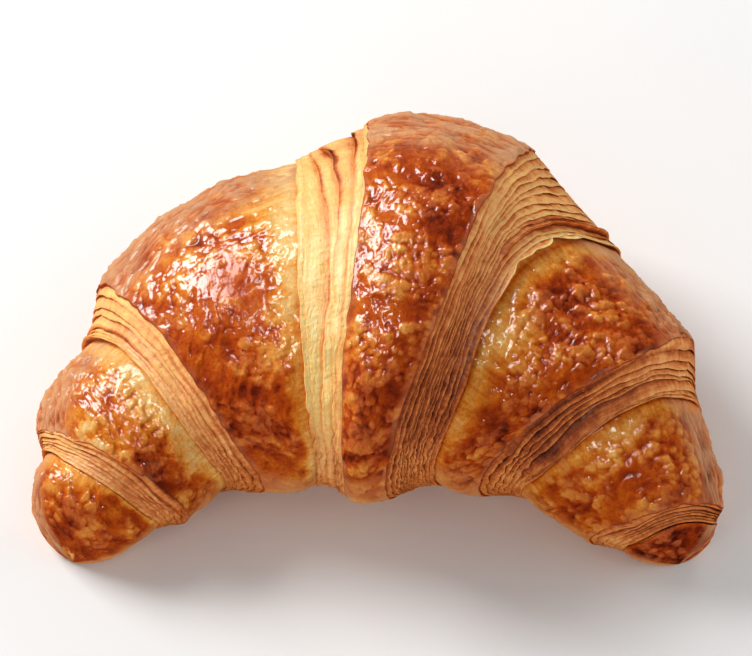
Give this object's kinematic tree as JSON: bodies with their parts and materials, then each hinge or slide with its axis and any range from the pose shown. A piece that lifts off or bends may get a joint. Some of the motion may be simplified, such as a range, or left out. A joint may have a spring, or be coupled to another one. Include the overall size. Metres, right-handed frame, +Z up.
{
  "type": "croissant",
  "caption": "Crescent-shaped butter croissant with a glazed, blistered crust, overlapping flaky turns and blunt horns, on a flat base.",
  "frame": {"origin": "under the middle of the croissant, on the surface that it rests on", "axes": "+X along the length from horn to horn, +Y towards the outer curve of the crescent, with the horns turned towards -Y, +Z up"},
  "size_m": [0.145, 0.0914, 0.0612],
  "materials": {
    "crust": "baked egg-washed crust"
  },
  "bodies": {
    "root": {"croissant": "crust"}
  },
  "joints": []
}
